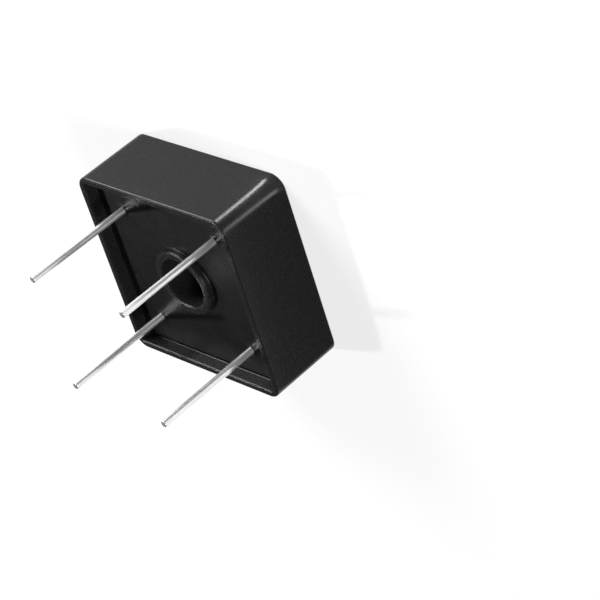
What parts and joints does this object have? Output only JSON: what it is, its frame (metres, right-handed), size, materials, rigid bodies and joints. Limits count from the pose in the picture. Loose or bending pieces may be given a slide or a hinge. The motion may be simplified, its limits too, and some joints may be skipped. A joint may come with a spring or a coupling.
{
  "type": "bridge rectifier",
  "caption": "Square potted bridge rectifier in a black moulded case, with a central screw hole and round wire leads on a square pitch.",
  "frame": {"origin": "centre of the flat base face, on the screw hole's axis", "axes": "+Z along the screw hole towards the leads; X and Y square to the walls, with the plus lead in the +X +Y corner and the minus lead in the -X -Y corner"},
  "size_m": [0.0286, 0.0286, 0.026],
  "materials": {
    "moulding": "satin",
    "resin": "satin",
    "tin": "polished",
    "aluminium": "satin",
    "film": "satin",
    "copper": "satin",
    "silicon": "satin",
    "solder": "satin"
  },
  "bodies": {
    "root": {"case": "moulding", "potting": "resin", "lead_plus": "tin", "lead_minus": "tin", "lead_ac_1": "tin", "lead_ac_2": "tin", "heat_spreader": "aluminium", "insulator_film": "film", "plus_plate": "copper", "minus_plate": "copper", "ac_jumper_1": "copper", "ac_jumper_2": "copper", "die_1": "silicon", "die_2": "silicon", "die_3": "silicon", "die_4": "silicon", "solder_lower_1": "solder", "solder_lower_2": "solder", "solder_lower_3": "solder", "solder_lower_4": "solder", "solder_upper_1": "solder", "solder_upper_2": "solder", "solder_upper_3": "solder", "solder_upper_4": "solder", "lead_solder_plus": "solder", "lead_solder_minus": "solder", "lead_solder_ac_1": "solder", "lead_solder_ac_2": "solder"}
  },
  "joints": []
}
